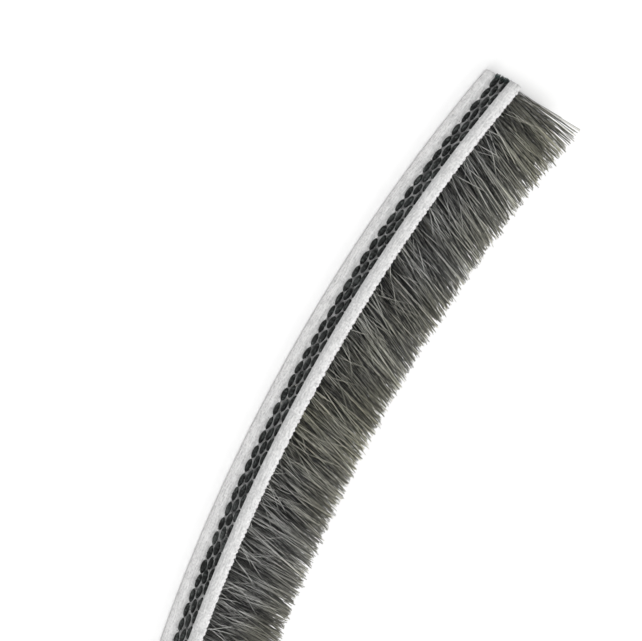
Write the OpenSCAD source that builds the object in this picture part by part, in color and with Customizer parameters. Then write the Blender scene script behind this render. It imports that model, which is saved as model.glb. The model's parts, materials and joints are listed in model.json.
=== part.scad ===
// Pile brush seal strip: a woven backing ribbon with three rows of cut yarn tufts.
// One metre of it rests on the ribbon's lower edge, in the open curl that it keeps
// from the roll, with the pile on the inside of the curl.
// The origin is the centre of the curl on the floor, and +Z is up.

/* [Strip] */
// Length of the strip, measured along its back face
strip_len = 1000; // [600:10:1020]
// Radius of the back face in the relaxed curl
curl_r = 165; // [163:1:230]

/* [Backing ribbon] */
// Width of the ribbon across both flanges
ribbon_w = 6.9; // [6:0.1:12]
// Thickness of each flange
ribbon_t = 0.75; // [0.7:0.05:1.2]
// How far the flange edges bow towards the pile
bow = 0.2; // [0.1:0.05:0.8]
// Radius along the flange edges
edge_r = 0.3; // [0.1:0.05:0.3]
// Depth of the stitch channel in the back face
channel_d = 0.5; // [0.3:0.05:0.55]

/* [Pile] */
// Height from the back face to the tips of the pile
pile_h = 15; // [8:0.5:20]
// Distance between two rows of tufts across the ribbon
row_pitch = 0.95; // [0.7:0.05:1.3]
// Distance between two stitches along a row
stitch_pitch = 2.04; // [1.9:0.02:3.2]
// Outward slope of the two outer rows, in degrees
flare = 5; // [1:0.5:8]
// Slope of the tufts along the strip, in degrees
lean = 14; // [0:1:20]
// Length over which the tufts turn upright before each cut end
upright_len = 60; // [60:5:150]
// Width of a tuft where it leaves the ribbon
tuft_root_w = 1.3; // [0.9:0.05:1.5]
// Width of a tuft at its tips
tuft_tip_w = 1.55; // [1:0.05:1.6]

/* [Stitches] */
// Length of one stitch along the strip
stitch_len = 1.8; // [1:0.05:1.85]
// Width of one stitch
stitch_w = 0.98; // [0.5:0.02:1]
// Height of one stitch above the floor of the channel
stitch_h = 0.25; // [0.1:0.01:0.4]

/* [Hidden] */
$fn = 180;
small_fn = 32;
row_count = 3;
stitch_clear = 0.08;
channel_w = (row_count - 1) * row_pitch + stitch_w + 2 * stitch_clear;
channel_wall_run = 0.12;
mid_z = ribbon_w / 2;
front_r = curl_r - ribbon_t;
tip_r = curl_r - pile_h;
arc = strip_len / curl_r * 180 / PI;
start_angle = 45 + (360 - arc) / 2;
stitch_count = floor(strip_len / stitch_pitch);
stitch_angle = arc / stitch_count;
pile_rise = pile_h - ribbon_t;
core_root_w = row_pitch;
core_tip_w = core_root_w + 2 * pile_rise * tan(flare);
seat = 0.01;
bow_steps = 3;

// How far the ribbon has bowed towards the pile at y, measured from its middle line
function bow_at(y) =
    let (run = max(0, abs(y) - channel_w / 2) / (ribbon_w / 2 - channel_w / 2))
    bow * pow(run, 2);

// Points along one face of a flange, from the channel out to the edge radius
function flange_points(inner_y, depth) = [
    for (i = [0 : bow_steps])
        let (y = inner_y + (ribbon_w / 2 - edge_r - inner_y) * i / bow_steps)
        [y, bow_at(y) + depth]
];

// The section is drawn with x across the ribbon and y from the back face to the front
module half_section() {
    front = flange_points(channel_w / 2, ribbon_t);
    polygon(concat(
        [[0, ribbon_t], [0, channel_d], [channel_w / 2, channel_d]],
        flange_points(channel_w / 2 + channel_wall_run, 0),
        [for (i = [len(front) - 1 : -1 : 0]) front[i]]
    ));
    edge_y = bow_at(ribbon_w / 2 - edge_r);
    translate([ribbon_w / 2 - edge_r, edge_y + edge_r])
        circle(r = edge_r, $fn = small_fn);
    translate([ribbon_w / 2 - edge_r, edge_y + ribbon_t - edge_r])
        circle(r = edge_r, $fn = small_fn);
    translate([ribbon_w / 2 - edge_r, edge_y + edge_r])
        square([edge_r, ribbon_t - 2 * edge_r]);
}

module ribbon_section() {
    translate([curl_r, mid_z])
        rotate(90)
            for (side = [0, 1])
                mirror([side, 0])
                    half_section();
}

module sweep_along_curl() {
    rotate([0, 0, start_angle]) rotate_extrude(angle = arc) children();
}

module backing_ribbon() {
    color("gainsboro") sweep_along_curl() ribbon_section();
}

// The middle of the pile, a wall that widens towards the tips
module pile_core() {
    color([0.22, 0.22, 0.21])
        sweep_along_curl()
            polygon([
                [front_r, mid_z - core_root_w / 2],
                [tip_r, mid_z - core_tip_w / 2],
                [tip_r, mid_z + core_tip_w / 2],
                [front_r, mid_z + core_root_w / 2]
            ]);
}

// Share of the full lean at a place along the strip: none at the ends, all in the middle
function lean_share(s) =
    let (near_end = min(s, strip_len - s))
    let (x = min(1, near_end / upright_len))
    x * x * (3 - 2 * x);

// One tuft seen from the side: x runs along the strip and y away from the ribbon
module tuft_side(shift, root_lift) {
    polygon([
        [-tuft_root_w / 2, root_lift],
        [tuft_root_w / 2, root_lift],
        [shift + tuft_tip_w / 2, pile_rise],
        [shift - tuft_tip_w / 2, pile_rise]
    ]);
}

// Places children at stitch k of a row, with x along the strip and y towards the pile
module at_stitch(k, r) {
    rotate([0, 0, start_angle + k * stitch_angle])
        translate([r, 0, 0])
            rotate([0, 0, 90])
                children();
}

// One outer row. side is 1 for the upper row and -1 for the lower one
module tuft_row(side) {
    root_lift = row_pitch * sin(flare) + seat;
    color([0.38, 0.38, 0.36])
        for (k = [0.5 : stitch_count - 0.5]) {
            s = k * strip_len / stitch_count;
            at_stitch(k, front_r)
                translate([0, 0, mid_z + side * (core_root_w / 2 + seat)])
                    rotate([side * flare, 0, 0])
                        mirror([0, 0, side > 0 ? 0 : 1])
                            linear_extrude(height = row_pitch)
                                tuft_side(pile_rise * tan(lean * lean_share(s)), root_lift);
        }
}

// The pointed oval of one stitch, where two circles cross
module stitch_outline() {
    oval_r = (pow(stitch_len, 2) + pow(stitch_w, 2)) / (4 * stitch_w);
    intersection_for (side = [-1, 1])
        translate([0, side * (oval_r - stitch_w / 2)])
            circle(r = oval_r, $fn = small_fn);
}

// One row of stitches on the floor of the channel. The middle row is half a stitch out
module stitch_row(row) {
    first = row == 0 ? 1 : 0.5;
    color([0.16, 0.18, 0.18])
        for (k = [first : stitch_count - 0.5])
            at_stitch(k, curl_r - channel_d)
                translate([0, 0, mid_z + row * row_pitch])
                    rotate([90, 0, 0])
                        linear_extrude(height = stitch_h)
                            stitch_outline();
}

backing_ribbon();
pile_core();
tuft_row(1);  // tufts_upper_row
tuft_row(-1);  // tufts_lower_row
stitch_row(1);  // stitches_upper_row
stitch_row(0);  // stitches_middle_row
stitch_row(-1);  // stitches_lower_row
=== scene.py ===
# Brush seal strip: a woven ribbon, the stitches on its back and the cut pile on its front.
# Every place on the strip is given as (along, across, depth): metres along the back face
# from the first cut end, across from the middle line, and in from the back to the tips.
import json
import math
import bpy
import numpy as np
from mathutils import Matrix, Vector


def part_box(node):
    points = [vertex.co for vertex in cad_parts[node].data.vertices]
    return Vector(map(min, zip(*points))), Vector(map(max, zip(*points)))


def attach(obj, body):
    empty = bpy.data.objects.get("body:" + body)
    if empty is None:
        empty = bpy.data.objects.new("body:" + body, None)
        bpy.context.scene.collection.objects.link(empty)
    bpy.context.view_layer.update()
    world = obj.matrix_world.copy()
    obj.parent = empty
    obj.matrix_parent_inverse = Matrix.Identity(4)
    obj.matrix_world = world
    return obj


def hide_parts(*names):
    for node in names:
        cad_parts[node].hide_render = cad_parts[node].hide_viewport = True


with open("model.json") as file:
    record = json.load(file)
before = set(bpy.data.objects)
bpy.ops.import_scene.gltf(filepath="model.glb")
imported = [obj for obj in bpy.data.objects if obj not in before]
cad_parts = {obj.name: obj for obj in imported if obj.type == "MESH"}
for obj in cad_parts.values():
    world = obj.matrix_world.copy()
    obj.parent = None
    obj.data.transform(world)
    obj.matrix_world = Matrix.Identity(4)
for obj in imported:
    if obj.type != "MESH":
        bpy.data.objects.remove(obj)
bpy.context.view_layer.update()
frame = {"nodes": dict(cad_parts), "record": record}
mm = 0.001


def radii(node):
    away = [math.hypot(p.co.x, p.co.y) for p in frame["nodes"][node].data.vertices]
    return min(away), max(away)


# The curl, read from the frame
ribbonLow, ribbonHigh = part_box("backing_ribbon")
curlRadius = radii("backing_ribbon")[1]
ribbonWidth = ribbonHigh.z - ribbonLow.z
tipRadius, rootRadius = radii("pile_core")
pileHeight = curlRadius - tipRadius
ribbonThick = curlRadius - rootRadius
cutEnd = next(m for m in frame["record"]["mounts"] if m["name"] == "first_end")["pos_m"]
startAngle = math.atan2(cutEnd[1], cutEnd[0])
stripLength = curlRadius * 2 * (math.pi + math.pi / 4 - startAngle)


def curl(along, across, depth):
    angle = startAngle + along / curlRadius
    away = curlRadius - depth
    height = ribbonWidth / 2 + across + 0 * along
    return np.stack([away * np.cos(angle), away * np.sin(angle), height], -1)


cameraShape = dict(
    place=(234.4 * mm, 529.5 * mm, 400.6 * mm),
    aim=(70.2 * mm, 150.7 * mm, 3.45 * mm),
    roll=119.5,             # degrees from level
    focalPixels=4500.0,     # in pixels of a picture this wide
    pictureWide=642.0,
    sensorWide=36.0,
)


def makeCamera():
    shape = cameraShape
    data = bpy.data.cameras.new("camera")
    data.sensor_width = shape["sensorWide"]
    data.lens = shape["sensorWide"] * shape["focalPixels"] / shape["pictureWide"]
    data.clip_start = 0.01
    data.clip_end = 50.0
    place = Vector(shape["place"])
    look = (Vector(shape["aim"]) - place).normalized()
    level = look.cross(Vector((0, 0, 1))).normalized()
    roll = math.radians(shape["roll"])
    right = math.cos(roll) * level + math.sin(roll) * level.cross(look)
    axes = Matrix((right, right.cross(look), -look)).transposed()
    camera = bpy.data.objects.new("camera", data)
    camera.matrix_world = Matrix.Translation(place) @ axes.to_4x4()
    bpy.context.scene.collection.objects.link(camera)
    bpy.context.scene.camera = camera
    bpy.context.scene.view_settings.view_transform = "Standard"


class Shade:
    # wraps a socket, so that an expression on it adds the Math nodes
    def __init__(self, tree, socket=None):
        self.tree = tree
        self.socket = socket

    def node(self, kind, settings, links, out=0):
        made = self.tree.nodes.new(kind)
        for name, value in settings.items():
            setattr(made, name, value)
        for name, value in links.items():
            if isinstance(value, Shade):
                self.tree.links.new(value.socket, made.inputs[name])
            else:
                made.inputs[name].default_value = value
        return Shade(self.tree, made.outputs[out] if made.outputs else None)

    def maths(self, operation, first, second=0.0):
        return self.node("ShaderNodeMath", {"operation": operation}, {0: first, 1: second})

    def __add__(self, other):
        return self.maths("ADD", self, other)

    def __sub__(self, other):
        return self.maths("SUBTRACT", self, other)

    def __rsub__(self, other):
        return self.maths("SUBTRACT", other, self)

    def __mul__(self, other):
        return self.maths("MULTIPLY", self, other)

    def __pow__(self, other):
        return self.maths("POWER", self, other)

    __radd__ = __add__
    __rmul__ = __mul__

    def wave(self, pitch):
        # runs from 0 to 1 and back once in each pitch
        return self.maths("SINE", self * (2 * math.pi / pitch)) * 0.5 + 0.5

    def clamped(self):
        return self.node("ShaderNodeClamp", {}, {"Value": self})

    def mix(self, first, second):
        # self is the factor between two colours
        return self.node("ShaderNodeMix", {"data_type": "RGBA"}, {0: self, 6: first, 7: second}, 2)


def newMaterial(name):
    material = bpy.data.materials.new(name)
    material.use_nodes = True
    material.node_tree.nodes.clear()
    return material, Shade(material.node_tree)


def finishMaterial(shade, **values):
    # values are the Principled shader's sockets, with an underscore for each space
    links = {name.replace("_", " "): value for name, value in values.items()}
    shader = shade.node("ShaderNodeBsdfPrincipled", {}, links)
    shade.node("ShaderNodeOutputMaterial", {}, {"Surface": shader})


def tone(level, warmth=0.0):
    return (level * (1 + warmth), level, level * (1 - warmth), 1)


def noise(shade, vector, scale, detail=2.0):
    return shade.node("ShaderNodeTexNoise", {}, {"Vector": vector, "Scale": scale, "Detail": detail})


def stretched(shade, vector, scale):
    return shade.node("ShaderNodeMapping", {}, {"Vector": vector, "Scale": scale})


def bump(shade, height, distance):
    return shade.node("ShaderNodeBump", {}, {"Height": height, "Distance": distance})


def mapped(shade):
    # the surface's own map, in millimetres: along the strip, then round its section
    uv = shade.node("ShaderNodeTexCoord", {}, {}, 2)
    along = shade.node("ShaderNodeSeparateXYZ", {}, {0: uv}, 0)
    around = shade.node("ShaderNodeSeparateXYZ", {}, {0: uv}, 1)
    return uv, along, around


stageLook = dict(
    floorSize=8.0,
    floorLift=0.14,         # added to the floor where the camera sees it, so that it is white
    sky=0.46,
    lamps=dict(
        key=dict(power=18.0, size=1.4, place=(-0.1, 0.2, 1.7)),
        side=dict(power=3.5, size=1.0, place=(0.5, 1.4, 0.9)),
    ),
    aim=(0.07, 0.15, 0.0),
)


def makeStage():
    half = stageLook["floorSize"] / 2
    corners = [(-half, -half, 0), (half, -half, 0), (half, half, 0), (-half, half, 0)]
    mesh = bpy.data.meshes.new("floor")
    mesh.from_pydata(corners, [], [(0, 1, 2, 3)])
    floor = bpy.data.objects.new("floor", mesh)
    bpy.context.scene.collection.objects.link(floor)
    material, shade = newMaterial("floor_white")
    seen = shade.node("ShaderNodeLightPath", {}, {}, 0)
    lift = seen.mix(tone(0), tone(stageLook["floorLift"]))
    finishMaterial(shade, Base_Color=tone(0.92), Roughness=0.9, Emission_Color=lift, Emission_Strength=1.0)
    mesh.materials.append(material)
    world = bpy.data.worlds.new("soft_room")
    world.use_nodes = True
    bpy.context.scene.world = world
    sky = world.node_tree.nodes["Background"]
    sky.inputs["Color"].default_value = tone(1)
    sky.inputs["Strength"].default_value = stageLook["sky"]
    for name, look in stageLook["lamps"].items():
        lamp = bpy.data.lights.new(name + "_light", "AREA")
        lamp.energy = look["power"]
        lamp.size = look["size"]
        holder = bpy.data.objects.new(name + "_light", lamp)
        holder.location = look["place"]
        away = holder.location - Vector(stageLook["aim"])
        holder.rotation_euler = away.to_track_quat("Z", "Y").to_euler()
        bpy.context.scene.collection.objects.link(holder)


def meshPiece(name, points, faces, material, layers=None, uv=None):
    # faces is a list of arrays. Each array has a row of corners for each of its faces
    mesh = bpy.data.meshes.new(name)
    sizes = np.concatenate([np.full(len(f), f.shape[1]) for f in faces])
    corners = np.concatenate([f.ravel() for f in faces]).astype(np.int32)
    starts = np.concatenate([[0], np.cumsum(sizes)[:-1]]).astype(np.int32)
    mesh.vertices.add(len(points))
    mesh.vertices.foreach_set("co", points.astype(np.float32).ravel())
    mesh.loops.add(len(corners))
    mesh.loops.foreach_set("vertex_index", corners)
    mesh.polygons.add(len(sizes))
    mesh.polygons.foreach_set("loop_start", starts)
    mesh.polygons.foreach_set("use_smooth", np.full(len(sizes), True))
    mesh.update(calc_edges=True)
    for title, values in (layers or {}).items():
        layer = mesh.attributes.new(title, "FLOAT", "POINT")
        layer.data.foreach_set("value", values.astype(np.float32))
    if uv is not None:
        layer = mesh.uv_layers.new(name="UVMap")
        layer.data.foreach_set("uv", uv[corners].astype(np.float32).ravel())
    mesh.materials.append(material)
    piece = bpy.data.objects.new(name, mesh)
    bpy.context.scene.collection.objects.link(piece)
    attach(piece, "root")
    print(f"  {name}: {int((sizes - 2).sum())} triangles")
    return piece


def repeated(faces, count, step):
    # the same faces for each of count copies, whose points follow each other
    return (faces[None] + (np.arange(count) * step)[:, None, None]).reshape(-1, faces.shape[1])


def smoothLuck(luck, count, reach):
    raw = luck.standard_normal(count + 2 * reach)
    kernel = np.hanning(2 * reach + 1)
    return np.convolve(raw, kernel / np.linalg.norm(kernel), "valid")


ribbonShape = dict(
    bow=0.2 * mm,
    edgeRadius=0.3 * mm,
    channelDepth=0.5 * mm,
    channelHalf=1.52 * mm,
    channelWall=0.12 * mm,
    station=0.9 * mm,
    wobble=0.02 * mm,       # how unevenly the edges run
    selvageOut=0.12 * mm,   # how far the weft loops stand out from the edges
    selvagePitch=0.58 * mm,
)
ribbonLook = dict(
    light=0.95,
    dark=0.58,              # painted shade in the hollows of the weave, and the low end of the threads' random tone
    floor=0.27,             # the channel's floor between the stitches, greyed by the yarn and darkened further by painted shade
    floorHalf=1.05 * mm,
    paintedShadeHalf=3.2 * mm,     # how far above the middle line the ribbon is darkened, a painted shade beside the stitches
    # painted shade: the upper flange is darkened towards the stitches, and the lower flange is left lighter
    paintedShade=0.75,
    warpPitch=0.34,         # millimetres from one thread to the next
    weftPitch=0.42,
    relief=0.06 * mm,
    roughness=0.6,
)


def ribbonSection():
    # (across, depth) round the section, starting on the front, in the middle of the pile
    shape = ribbonShape
    half = ribbonWidth / 2 - shape["selvageOut"]
    round_ = shape["edgeRadius"]
    edge = half - round_
    inner = shape["channelHalf"]

    def bowAt(y):
        return shape["bow"] * max(0.0, (y - inner) / (half - inner)) ** 2

    side = [(0.0, shape["channelDepth"]), (inner, shape["channelDepth"])]
    for y in np.linspace(inner + shape["channelWall"], edge, 5):
        side.append((y, bowAt(y)))
    for middle, turns in ((round_, (-60, -30, 0)), (ribbonThick - round_, (0, 30, 60))):
        for turn in np.radians(turns):
            side.append((edge + round_ * math.cos(turn), bowAt(edge) + middle + round_ * math.sin(turn)))
    for y in np.linspace(edge, inner, 3):
        side.append((y, bowAt(y) + ribbonThick))
    mirrored = [(-y, depth) for y, depth in reversed(side[1:])]
    return np.array([(0.0, ribbonThick)] + mirrored + side)


def makeRibbonMaterial():
    look = ribbonLook
    material, shade = newMaterial("ribbon_weave")
    uv, along, around = mapped(shade)
    wander = noise(shade, uv, 0.8, 3.0)
    warp = (around + wander * 0.5).wave(look["warpPitch"])
    weft = (along + wander * 0.7).wave(look["weftPitch"])
    streaks = noise(shade, stretched(shade, uv, (0.45, 1.5, 1)), 2.4, 4.0)
    fluff = noise(shade, uv, 3.6, 6.0)
    worn = noise(shade, uv, 0.5, 2.0)
    height = warp * weft * 0.35 + streaks + fluff * 0.8
    # the channel's floor lies half way round the section
    section = ribbonSection()
    steps = np.linalg.norm(np.roll(section, -1, axis=0) - section, axis=1) / mm
    above = around - float(steps.sum()) / 2
    away = shade.maths("ABSOLUTE", above)
    floor = ((look["floorHalf"] / mm - away) * 6.0 + 0.5).clamped()
    # painted shade: the ribbon darkens towards the stitches on the upper flange only, and the lower flange
    # keeps its lighter tone
    paintedShade = ((look["paintedShadeHalf"] / mm - away) * 0.9).clamped() * above.clamped() * look["paintedShade"]
    # the warp and weft term paints shade into the hollows between threads; streaks, fluff and worn vary the
    # tone at random
    level = warp * weft * 0.22 + (streaks - 0.5) * 2.2 + (fluff - 0.5) * 1.6 + (worn - 0.5) * 0.8 + 0.62
    level = (level - paintedShade).clamped()
    thread = level.mix(tone(look["dark"]), tone(look["light"], 0.006))
    dust = ((noise(shade, uv, 0.9, 3.0) - 0.5) * 4.0 + 0.5).clamped()
    # the channel's floor: the yarn's own grey, darkened further by painted shade between the stitches
    yarnGreyAndShade = dust.mix(tone(look["floor"] * 0.3), tone(look["floor"] * 1.25))
    finishMaterial(
        shade, Base_Color=floor.mix(thread, yarnGreyAndShade), Roughness=look["roughness"],
        Normal=bump(shade, height, look["relief"]),
    )
    return material


def makeRibbon(material):
    section = ribbonSection()
    count = len(section)
    stations = np.linspace(0, stripLength, round(stripLength / ribbonShape["station"]) + 1)
    along = np.repeat(stations[:, None], count, 1)
    luck = np.random.default_rng(12)
    wobble = []
    for _ in range(2):
        dip = np.abs(smoothLuck(luck, len(stations), 3)) * ribbonShape["wobble"]
        wobble.append(1 - dip / ribbonWidth)
    squeeze = np.where(section[:, 0] > 0, wobble[0][:, None], wobble[1][:, None])
    points = curl(along, section[:, 0][None] * squeeze, section[:, 1][None]).reshape(-1, 3)
    steps = np.linalg.norm(np.diff(section, axis=0), axis=1)
    girth = np.concatenate([[0], np.cumsum(steps)])
    uv = np.stack([along, np.repeat(girth[None], len(stations), 0)], -1).reshape(-1, 2) / mm
    ring = np.arange(count)
    beside = (ring + 1) % count
    quad = np.stack([ring, count + ring, count + beside, beside], -1)
    last = (len(stations) - 1) * count
    faces = [repeated(quad, len(stations) - 1, count), np.array([ring, last + ring[::-1]])]
    piece = meshPiece("woven_ribbon", points, faces, material, uv=uv)
    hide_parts("backing_ribbon")


def ellipsoids(middles, sizes, sides=6, rings=2):
    # closed beads in (along, across, depth), with their poles on the front and the back
    u = np.pi * np.arange(1, rings + 1) / (rings + 1)
    v = 2 * np.pi * np.arange(sides) / sides
    ball = [(0.0, 0.0, -1.0)]
    for turn in u:
        for spin in v:
            ball.append((math.sin(turn) * math.cos(spin), math.sin(turn) * math.sin(spin), -math.cos(turn)))
    ball = np.array(ball + [(0.0, 0.0, 1.0)])
    ring = np.arange(sides)
    beside = (ring + 1) % sides
    last = len(ball) - 1
    caps = [np.stack([0 * ring, 1 + ring, 1 + beside], -1)]
    caps.append(np.stack([last + 0 * ring, last - sides + beside, last - sides + ring], -1))
    quads = []
    for k in range(rings - 1):
        low = 1 + k * sides
        quads.append(np.stack([low + ring, low + sides + ring, low + sides + beside, low + beside], -1))
    places = middles[:, None] + ball[None] * sizes[:, None]
    faces = [
        repeated(np.concatenate(quads), len(middles), len(ball)),
        repeated(np.concatenate(caps), len(middles), len(ball)),
    ]
    return places.reshape(-1, 3), faces


def makeSelvage(side, name, material):
    shape = ribbonShape
    luck = np.random.default_rng(60 + side)
    pitch = shape["selvagePitch"]
    along = np.arange(pitch * 0.6, stripLength - pitch * 0.5, pitch)
    along = along + luck.uniform(-0.15, 0.15, len(along)) * mm
    sizes = np.stack([
        luck.uniform(0.28, 0.42, len(along)) * mm,
        luck.uniform(0.13, 0.20, len(along)) * mm,
        luck.uniform(0.37, 0.45, len(along)) * mm,
    ], -1)
    out = ribbonWidth / 2 - luck.uniform(0.0, 0.06, len(along)) * mm - sizes[:, 1]
    depth = shape["bow"] * 0.93 + ribbonThick / 2 + luck.uniform(-0.03, 0.03, len(along)) * mm
    places, faces = ellipsoids(np.stack([along, side * out, depth], -1), sizes)
    uv = np.stack([places[:, 0], places[:, 2]], -1) / mm
    points = curl(places[:, 0], places[:, 1], places[:, 2])
    piece = meshPiece(name, points, faces, material, uv=uv)
    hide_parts("backing_ribbon")


stitchShape = dict(
    rowPitch=0.95 * mm,
    stitchPitch=2.04 * mm,
    rowSkew=0.12 * mm,      # each row starts this much later than the row below it
    length=1.84 * mm,
    width=0.99 * mm,
    height=0.27 * mm,
    sink=0.02 * mm,         # how far the stitch is pressed into the channel's floor
    fray=0.06 * mm,         # how far the halved stitches stand past the cut ends
    alongSteps=8,
    acrossSteps=4,
)
stitchCount = int(stripLength / stitchShape["stitchPitch"])
stitchStep = stripLength / stitchCount
stitchLook = dict(
    dark=(0.004, 0.004, 0.004, 1),
    light=(0.110, 0.126, 0.119, 1),
    groovePitch=0.19,       # millimetres from one fibre of the yarn to the next
    relief=0.05 * mm,
)


def makeStitchMaterial():
    look = stitchLook
    material, shade = newMaterial("stitch_yarn")
    uv, along, around = mapped(shade)
    worn = noise(shade, uv, 1.7, 3.0)
    groove = (along * 0.25 + around + worn * 0.1).wave(look["groovePitch"])
    # glint patches: a painted highlight in the base colour, and also the coat's real gloss
    paintedGlintAndCoat = ((noise(shade, uv, 0.55) - 0.5) * 5.0).clamped()
    # specks: the yarn's mottled tone, and partly painted glints of its filaments
    flecksAndPaintedGlints = ((noise(shade, uv, 2.8, 2.0) - 0.52) * 5.0).clamped()
    level = groove * 0.12 + (worn - 0.5) * 0.7 + paintedGlintAndCoat * 0.2 + flecksAndPaintedGlints * 0.7
    finishMaterial(
        shade, Base_Color=level.clamped().mix(look["dark"], look["light"]),
        Roughness=0.42, Specular_IOR_Level=0.15, Coat_Weight=paintedGlintAndCoat * 0.5, Coat_Roughness=0.2,
        Normal=bump(shade, groove * 0.5 + worn * 0.6 + flecksAndPaintedGlints * 0.5, look["relief"]),
    )
    return material


def stitchPlaces(row, cutOnes=False):
    # the middle row is half a stitch behind the outer ones, so the cut ends halve two of its stitches
    first = 0.5 if row else 0.0 if cutOnes else 1.0
    last = stitchCount + 0.1 if cutOnes else stitchCount - 0.4
    return np.arange(first, last) * stitchStep + row * stitchShape["rowSkew"]


def makeStitchRow(row, name, node, material):
    shape = stitchShape
    luck = np.random.default_rng(40 + row)
    places = stitchPlaces(row, cutOnes=True)
    count = len(places)

    def jitter(size):
        return size * luck.standard_normal((count, 1, 1))

    # a pointed oval, highest in the middle, with its rim under the channel's floor
    t = np.linspace(-1, 1, shape["alongSteps"] + 1)[None, :, None] + np.zeros((count, 1, 1))
    v = np.linspace(-1, 1, shape["acrossSteps"] + 1)[None, None]
    if row == 0:
        t[0] = (t[0] + 1) / 2
        t[-1] = (t[-1] - 1) / 2
    u = np.sin(t * math.pi / 2)
    outline = np.maximum(1 - np.abs(u) ** 2.2, 0.02) ** 0.52
    dome = np.sqrt(1 - v ** 2) * outline ** 0.7
    x = (u + 0 * v) * shape["length"] / 2 * (1 + jitter(0.04))
    y = outline * v * shape["width"] / 2 * (1 + jitter(0.07))
    turn = jitter(0.07)
    along = places[:, None, None] + jitter(0.05 * mm) + x - y * turn
    along = np.clip(along, -shape["fray"], stripLength + shape["fray"])
    across = row * shape["rowPitch"] + jitter(0.03 * mm) + y + x * turn
    floor = ribbonShape["channelDepth"] + shape["sink"]
    depth = np.maximum(floor - dome * shape["height"] * (1 + jitter(0.08)), 0)
    points = curl(along, across, depth).reshape(-1, 3)
    long, wide = shape["alongSteps"], shape["acrossSteps"]
    start = (np.arange(long)[:, None] * (wide + 1) + np.arange(wide)[None]).ravel()
    quad = np.stack([start, start + wide + 1, start + wide + 2, start + 1], -1)
    nearRim = np.arange(long + 1) * (wide + 1)
    under = np.concatenate([nearRim[::-1], nearRim + wide])[None]
    size = (long + 1) * (wide + 1)
    end = np.arange(wide + 1)
    ends = np.stack([end, size - 1 - end])
    faces = [repeated(pattern, count, size) for pattern in (quad, under, ends)]
    shift = np.arange(count)[:, None, None] * 3.7
    uv = np.stack([x / mm + shift, y / mm + shift], -1).reshape(-1, 2)
    piece = meshPiece(name, points, faces, material, uv=uv)
    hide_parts(node)


pileShape = dict(
    strandsPerTuft=64,       # each has a fibre that is widest at its tip
    narrowShare=0.3,         # how many have another that narrows to its tip
    bentShare=0.25,          # how many have a bent one
    fibreRadius=0.054 * mm,
    rootAlong=0.5 * mm,      # spread of a tuft's roots
    rootAcross=0.24 * mm,
    tipAlong=1.9 * mm,       # how far its tips reach either way
    tipAcross=0.36 * mm,
    strandTip=0.10 * mm,     # spread of the tips within a strand
    bend=0.55 * mm,
    flare=5.0,               # degrees outward for the outer rows
    lean=16.0,               # degrees along the strip
    endLean=-7.0,            # at the first cut end, where the tufts splay past it
    leanRun=10 * mm,         # length over which the one turns into the other
    endSplay=5.5,            # further degrees, for the fibres right at a cut end
    splayRun=1.6 * mm,
    tuftSway=0.5,            # degrees from tuft to tuft
    clumpSway=0.35,          # degrees from clump to clump
    ragged=0.2 * mm,
    start=0.45 * mm,         # depth at which a fibre starts, inside the ribbon
    inside=3.3 * mm,         # no fibre leaves the middle line by more
)
pileLook = dict(
    dark=0.02,
    light=(0.95, 0.95, 0.91, 1),
    olive=(0.84, 0.82, 0.64, 1),
    darkShare=0.46,          # how much of the pile is dark fibre
    bright=0.8,
    paintedTipLight=0.27,           # painted light: what every fibre gains at its tip, lighter where more light reaches the pile's ends
)


def makePileMaterial():
    look = pileLook
    material, shade = newMaterial("pile_fibre")
    pick = shade.node("ShaderNodeAttribute", {"attribute_name": "fibreShade"}, {}, 2)
    tip = shade.node("ShaderNodeAttribute", {"attribute_name": "fibreTip"}, {}, 2)
    place = shade.node("ShaderNodeTexCoord", {}, {}, 3)
    bright = ((pick - look["darkShare"]) * (1 / (1 - look["darkShare"]))).clamped()
    # painted light: every fibre is lighter towards its tip
    level = bright * look["bright"] + tip ** 6.0 * look["paintedTipLight"]
    patch = ((noise(shade, place, 47.0) - 0.46) * 4.0 + tip * 0.45).clamped()
    colour = level.mix(tone(look["dark"]), patch.mix(look["light"], look["olive"]))
    finishMaterial(shade, Base_Color=colour, Roughness=0.4)
    return material


def leanAt(along):
    shape = pileShape
    near = np.exp(-along / shape["leanRun"])
    far = np.exp(-(stripLength - along) / shape["leanRun"])
    return (shape["lean"] + (shape["endLean"] - shape["lean"]) * near) * (1 - far)


def fibreFaces(widths):
    # a fibre has a point where its width is 0, and three corners elsewhere
    sizes = [3 if width else 1 for width in widths]
    starts = np.concatenate([[0], np.cumsum(sizes)])
    faces = [[(2, 1, 0)] if widths[0] else [], []]
    for k in range(len(widths) - 1):
        a, b = starts[k], starts[k + 1]
        for c, d in ((0, 1), (1, 2), (2, 0)):
            if widths[k] and widths[k + 1]:
                faces[1].append((a + c, a + d, b + d, b + c))
            elif widths[k]:
                faces[0].append((a + c, a + d, b))
            else:
                faces[0].append((a, b + d, b + c))
    if widths[-1]:
        last = starts[-2]
        faces[0].append((last, last + 1, last + 2))
    return sizes, [np.array(f) for f in faces if f]


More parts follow.
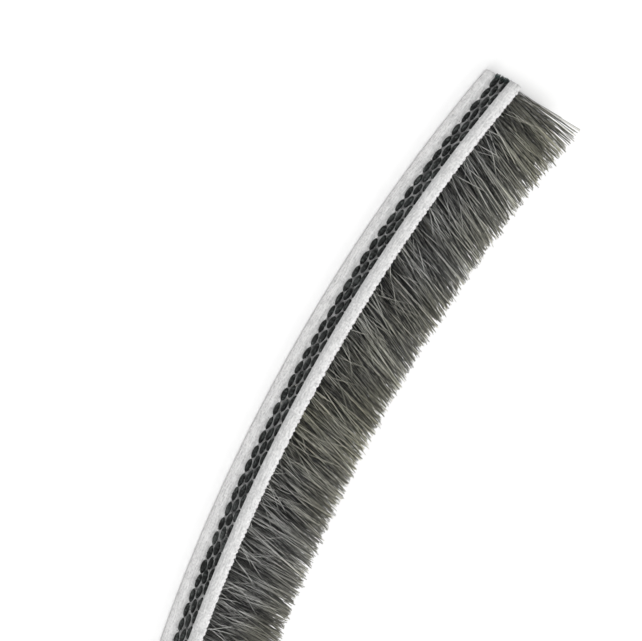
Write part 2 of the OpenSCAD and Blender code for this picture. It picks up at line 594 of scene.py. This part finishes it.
def fibrePiece(name, kinds, material, luck):
    # each kind has paths of (fibres, stations, 3) in (along, across, depth), the width at
    # each station, and each fibre's radius and shade
    points, faces, shades, heights = [], [], [], []
    first = 0
    for paths, widths, radius, shadeOf in kinds:
        line = curl(paths[..., 0], paths[..., 1], paths[..., 2])
        run = line[:, -1] - line[:, 0]
        run /= np.linalg.norm(run, axis=1)[:, None]
        side = np.cross(run, luck.standard_normal(run.shape))
        side /= np.linalg.norm(side, axis=1)[:, None]
        other = np.cross(run, side)
        turns = 2 * np.pi * np.arange(3) / 3
        ways = side[:, None] * np.cos(turns)[:, None] + other[:, None] * np.sin(turns)[:, None]
        ways *= radius[:, None, None]
        rings = []
        for k, width in enumerate(widths):
            rings.append(line[:, k, None] + ways * width if width else line[:, k, None])
        sizes, patterns = fibreFaces(widths)
        step = sum(sizes)
        points.append(np.concatenate(rings, 1).reshape(-1, 3))
        faces += [repeated(pattern, len(line), step) + first for pattern in patterns]
        shades.append(np.repeat(shadeOf, step))
        heights.append(np.repeat(paths[..., 2] / pileHeight, sizes, axis=1).ravel())
        first += len(line) * step
    layers = dict(fibreShade=np.concatenate(shades), fibreTip=np.concatenate(heights))
    return meshPiece(name, np.concatenate(points), faces, material, layers=layers)


def makePileRow(row, half, name, node, material):
    shape = pileShape
    places = stitchPlaces(row)
    tuftLuck = np.random.default_rng(90 + row)
    clumpLuck = np.random.default_rng(5)     # the rows clump together, so they share this one
    sway = shape["tuftSway"] * tuftLuck.standard_normal(len(places))
    sway = sway + shape["clumpSway"] * smoothLuck(clumpLuck, stitchCount, 3)[:len(places)]
    tuftShade = 0.03 * tuftLuck.standard_normal(len(places))
    middle = len(places) // 2
    chosen = np.arange(len(places))[:middle] if half == 0 else np.arange(len(places))[middle:]
    tuft = np.repeat(chosen, shape["strandsPerTuft"])
    luck = np.random.default_rng(700 + 10 * row + half)

    def spread(size, count):
        return size * np.clip(luck.standard_normal(count), -2, 2)

    # every strand has its own place in the tuft, and the fibres keep close to their strand
    strands = len(tuft)
    root = places[tuft] + spread(shape["rootAlong"], strands)
    splay = shape["endSplay"] * np.abs(spread(1, strands))
    splay = splay * (np.exp((root - stripLength) / shape["splayRun"]) - np.exp(-root / shape["splayRun"]))
    lean = np.tan(np.radians(leanAt(root) + sway[tuft] + splay))
    # the tips are dealt out evenly over each tuft's reach, so that no gap opens between them
    order = luck.random((len(chosen), shape["strandsPerTuft"])).argsort(1).ravel()
    tipAlong = ((order + luck.random(strands)) / shape["strandsPerTuft"] * 2 - 1) * shape["tipAlong"]
    rootAcross = row * stitchShape["rowPitch"] + spread(shape["rootAcross"], strands)
    tipAcross = spread(shape["tipAcross"], strands)
    pick = luck.random(strands) + tuftShade[tuft]
    flare = math.tan(math.radians(row * shape["flare"]))
    kinds = []
    narrow = np.flatnonzero(luck.random(strands) < shape["narrowShare"])
    bent = np.flatnonzero(luck.random(strands) < shape["bentShare"])
    for widths, fibre in (((0, 1), np.arange(strands)), ((1, 0), narrow), ((0, 1, 0), bent)):
        count = len(fibre)
        u = np.stack([np.zeros(count), luck.uniform(0.5, 0.95, count), np.ones(count)], -1)
        if len(widths) == 2:
            u = u[:, ::2]
        reach = pileHeight - shape["start"] - np.abs(spread(shape["ragged"], count))
        toTip = lean[fibre] * reach + tipAlong[fibre] + spread(shape["strandTip"], count)
        along = (root[fibre] + spread(0.06 * mm, count))[:, None] + u * toTip[:, None]
        along = along + spread(shape["bend"], count)[:, None] * np.sin(u * math.pi)
        outward = flare * reach + tipAcross[fibre] + spread(shape["strandTip"], count)
        across = (rootAcross[fibre] + spread(0.04 * mm, count))[:, None] + u * outward[:, None]
        across = np.clip(across, -shape["inside"], shape["inside"])
        paths = np.stack([along, across, shape["start"] + u * reach[:, None]], -1)
        shadeOf = np.clip(pick[fibre] + spread(0.07, count), 0, 1)
        kinds.append((paths, widths, shape["fibreRadius"] * luck.uniform(0.8, 1.2, count), shadeOf))
    piece = fibrePiece(name, kinds, material, luck)
    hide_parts(node)


strayShape = dict(
    count=4800,
    fibreRadius=0.042 * mm,
    reach=(2.5 * mm, 11 * mm),
    swing=27.0,              # degrees either way from the pile's own lean
    curve=1.1 * mm,
    lift=(0.1 * mm, 0.7 * mm),
)


def makeStrays(material):
    # loose fibres that lie across the pile's upper and lower faces
    shape = strayShape
    luck = np.random.default_rng(31)
    count = shape["count"]

    def between(low, high):
        return luck.uniform(low, high, count)[:, None]

    along = between(1 * mm, stripLength - 3 * mm)
    side = luck.choice([-1, 1], count)[:, None]
    lean = np.radians(leanAt(along) + shape["swing"] * between(-1, 1))
    first = ribbonThick + 0.05 * mm + between(0, 1) ** 2 * 5 * mm
    reach = np.minimum(between(*shape["reach"]), pileHeight - 1 * mm - first)
    u = np.array([0, 0.35, 0.7, 1])[None]
    depth = first + reach * np.cos(lean) * u
    lift = between(*shape["lift"]) * np.sin(u * 2.6)
    paths = np.stack([
        along + np.sin(lean) * reach * u + shape["curve"] * between(-1, 1) * u ** 2,
        np.clip(side * (1.25 * mm + 0.0875 * depth + lift), -pileShape["inside"], pileShape["inside"]),
        depth,
    ], -1)
    radius = shape["fibreRadius"] * luck.uniform(0.7, 1.2, count)
    shadeOf = luck.uniform(0.6, 1.0, count)
    fibrePiece("stray_fibres", [(paths, (0, 1, 1, 0), radius, shadeOf)], material, luck)


yarnEndShape = dict(
    perRow=34,
    fibreRadius=0.05 * mm,
    out=0.3 * mm,            # how far the cut yarn frays past the ribbon's end
    dark=(0.012, 0.014, 0.014, 1),
    light=(0.10, 0.15, 0.145, 1),
)


def makeYarnEndMaterial():
    material, shade = newMaterial("yarn_end")
    pick = shade.node("ShaderNodeAttribute", {"attribute_name": "fibreShade"}, {}, 2)
    place = shade.node("ShaderNodeTexCoord", {}, {}, 3)
    level = (pick ** 1.5 + (noise(shade, place, 4000.0) - 0.5) * 0.5).clamped()
    colour = level.mix(yarnEndShape["dark"], yarnEndShape["light"])
    finishMaterial(shade, Base_Color=colour, Roughness=0.4)
    return material


def makeYarnEnds(material):
    shape = yarnEndShape
    luck = np.random.default_rng(77)
    count = 6 * shape["perRow"]
    row = np.tile([-1, 0, 1], count // 3)
    atFar = np.arange(count) % 2

    def between(low, high):
        return luck.uniform(low, high, count)

    u = np.array([0, 0.5, 1])[None]
    out = between(0.1, 1) * shape["out"]
    inward = between(0.2, 0.7) * mm
    fromEnd = inward[:, None] - u * (inward + out)[:, None]
    across = row * stitchShape["rowPitch"] + between(-0.42, 0.42) * mm
    across = across[:, None] + between(-0.3, 0.3)[:, None] * mm * u ** 2
    depth = between(0.22, 0.48)[:, None] * mm - between(-0.1, 0.2)[:, None] * mm * u ** 2
    paths = np.stack([
        np.where(atFar[:, None], stripLength - fromEnd, fromEnd), across, np.maximum(depth, 0.05 * mm),
    ], -1)
    radius = shape["fibreRadius"] * between(0.8, 1.2)
    fibrePiece("yarn_ends", [(paths, (0, 1, 0), radius, between(0, 1))], material, luck)


makeCamera()
makeStage()
print("camera and stage set")

ribbonWeave = makeRibbonMaterial()
makeRibbon(ribbonWeave)
makeSelvage(1, "selvage_upper", ribbonWeave)
makeSelvage(-1, "selvage_lower", ribbonWeave)
print("ribbon woven")

stitchYarn = makeStitchMaterial()
pileFibre = makePileMaterial()
for row, rowName in ((1, "upper"), (0, "middle"), (-1, "lower")):
    makeStitchRow(row, f"yarn_{rowName}_stitches", f"stitches_{rowName}_row", stitchYarn)
    node = f"tufts_{rowName}_row" if row else "pile_core"
    makePileRow(row, 0, f"pile_{rowName}_first", node, pileFibre)
    makePileRow(row, 1, f"pile_{rowName}_second", node, pileFibre)
    print(f"{rowName} row stitched and tufted")
makeStrays(pileFibre)
makeYarnEnds(makeYarnEndMaterial())
print("stray fibres and yarn ends laid")
